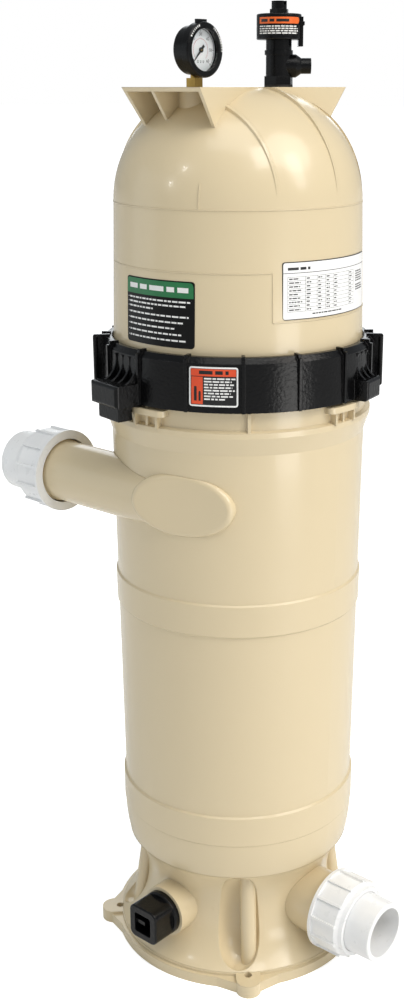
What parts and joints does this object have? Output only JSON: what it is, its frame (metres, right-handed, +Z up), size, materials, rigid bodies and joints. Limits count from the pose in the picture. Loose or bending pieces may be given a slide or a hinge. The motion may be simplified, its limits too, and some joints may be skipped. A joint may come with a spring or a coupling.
{
  "type": "pool cartridge filter",
  "caption": "Upright pressure tank with a domed lid, a turning lock ring, a pleated cartridge inside, pipe unions, a gauge and an air relief valve.",
  "frame": {"origin": "centre of the base underside, on the tank axis", "axes": "+Z up along the tank axis, +X towards the outlet union, -X towards the inlet union, -Y towards the drain plug"},
  "size_m": [0.476, 0.3714, 1.1305],
  "materials": {
    "cream_plastic": "glossy moulded thermoplastic, almond",
    "black_plastic": "pebbled glass-filled polypropylene, black",
    "valve_black": "smooth black plastic",
    "white_pvc": "smooth white PVC",
    "seal_rubber": "black elastomer",
    "brass": "machined brass",
    "steel_wire": "stainless spring wire",
    "filter_media": "pleated spun polyester",
    "cartridge_plastic": "moulded blue end caps and core",
    "media_strap": "woven polyester straps",
    "grey_plastic": "grey moulded plastic",
    "dial_white": "printed white dial",
    "needle_black": "black pointer",
    "clear_lens": "clear window",
    "label_safety": "printed vinyl label, green and black",
    "label_data": "printed vinyl label, white",
    "label_ring": "printed vinyl label, orange and black",
    "label_valve": "printed vinyl label, orange and black"
  },
  "bodies": {
    "tank": {"lower_tank": "cream_plastic", "outlet_elbow": "cream_plastic", "inlet_fitting": "cream_plastic", "outlet_standpipe": "grey_plastic", "standpipe_oring": "seal_rubber", "cartridge_bottom_cap": "cartridge_plastic", "cartridge_top_cap": "cartridge_plastic", "cartridge_core": "cartridge_plastic", "cartridge_media": "filter_media", "cartridge_bands": "media_strap", "air_bleed_tube": "grey_plastic", "bleed_strainer": "grey_plastic", "tank_oring": "seal_rubber"},
    "lid": {"lid": "cream_plastic", "lid_label_left": "label_safety", "lid_label_right": "label_data", "gauge_stem": "brass", "gauge_case": "valve_black", "bourdon_tube": "brass", "gauge_dial": "dial_white", "needle_shaft": "brass", "gauge_lens": "clear_lens", "valve_body": "valve_black", "valve_seal": "seal_rubber", "valve_cap": "valve_black", "valve_label": "label_valve"},
    "ring": {"locking_ring": "black_plastic", "ring_label": "label_ring", "latch_spring": "steel_wire"},
    "latch": {"ring_latch": "black_plastic"},
    "needle": {"gauge_needle": "needle_black"},
    "bezel": {"gauge_bezel": "valve_black"},
    "valve_stem": {"valve_stem": "valve_black", "valve_orings": "seal_rubber"},
    "valve_knob": {"valve_knob": "valve_black"},
    "outlet_tail": {"outlet_tail": "white_pvc", "outlet_oring": "seal_rubber"},
    "outlet_nut": {"outlet_nut": "white_pvc"},
    "inlet_tail": {"inlet_tail": "white_pvc", "inlet_oring": "seal_rubber"},
    "inlet_nut": {"inlet_nut": "white_pvc"},
    "drain_seal": {"drain_oring": "seal_rubber"},
    "drain_plug": {"drain_plug": "black_plastic"}
  },
  "joints": [
    {"name": "lid_lift", "type": "slide", "parent": "tank", "child": "lid", "axis": [0, 0, 1], "range_m": [0, 0.24]},
    {"name": "ring_turn", "type": "hinge", "parent": "lid", "child": "ring", "pos_m": [0, 0, 0.743], "axis": [0, 0, 1], "range_deg": [0, 360]},
    {"name": "latch_lift", "type": "slide", "parent": "ring", "child": "latch", "axis": [0, 0, 1], "range_m": [0, 0.016], "stiffness_N_per_m": 120, "springref_m": -0.02, "deforming": ["latch_spring"]},
    {"name": "needle_sweep", "type": "hinge", "parent": "lid", "child": "needle", "pos_m": [0.009, -0.07, 1.0765], "axis": [-1, 0, 0], "range_deg": [0, 270], "stiffness_Nm_per_rad": 0.01},
    {"name": "index_ring_turn", "type": "hinge", "parent": "lid", "child": "bezel", "pos_m": [0.0126, -0.07, 1.0765], "axis": [1, 0, 0], "continuous": true},
    {"name": "valve_lift", "type": "slide", "parent": "lid", "child": "valve_stem", "axis": [0, 0, 1], "range_m": [0, 0.008]},
    {"name": "valve_turn", "type": "hinge", "parent": "valve_stem", "child": "valve_knob", "pos_m": [0, 0.07, 1.124], "axis": [0, 0, 1], "range_deg": [0, 90.5]},
    {"name": "outlet_slide", "type": "slide", "parent": "tank", "child": "outlet_tail", "axis": [1, 0, 0], "range_m": [0, 0.0301]},
    {"name": "outlet_nut_turn", "type": "hinge", "parent": "outlet_tail", "child": "outlet_nut", "pos_m": [0.175, 0, 0.073], "axis": [1, 0, 0], "range_deg": [0, 1800]},
    {"name": "inlet_slide", "type": "slide", "parent": "tank", "child": "inlet_tail", "axis": [-1, 0, 0], "range_m": [0, 0.0301]},
    {"name": "inlet_nut_turn", "type": "hinge", "parent": "inlet_tail", "child": "inlet_nut", "pos_m": [-0.188, -0.122, 0.6025], "axis": [-1, 0, 0], "range_deg": [0, 1800]},
    {"name": "drain_slide", "type": "slide", "parent": "tank", "child": "drain_seal", "axis": [0, -1, 0], "range_m": [0, 0.0241]},
    {"name": "drain_plug_turn", "type": "hinge", "parent": "drain_seal", "child": "drain_plug", "pos_m": [0, -0.15, 0.073], "axis": [0, -1, 0], "range_deg": [0, 2160]}
  ],
  "couplings": [
    {"joint": "valve_turn", "follows": "valve_lift", "rad_per_m": 196.35},
    {"joint": "outlet_slide", "follows": "outlet_nut_turn", "m_per_rad": 0.00095493},
    {"joint": "inlet_slide", "follows": "inlet_nut_turn", "m_per_rad": 0.00095493},
    {"joint": "drain_slide", "follows": "drain_plug_turn", "m_per_rad": 0.00063662}
  ]
}
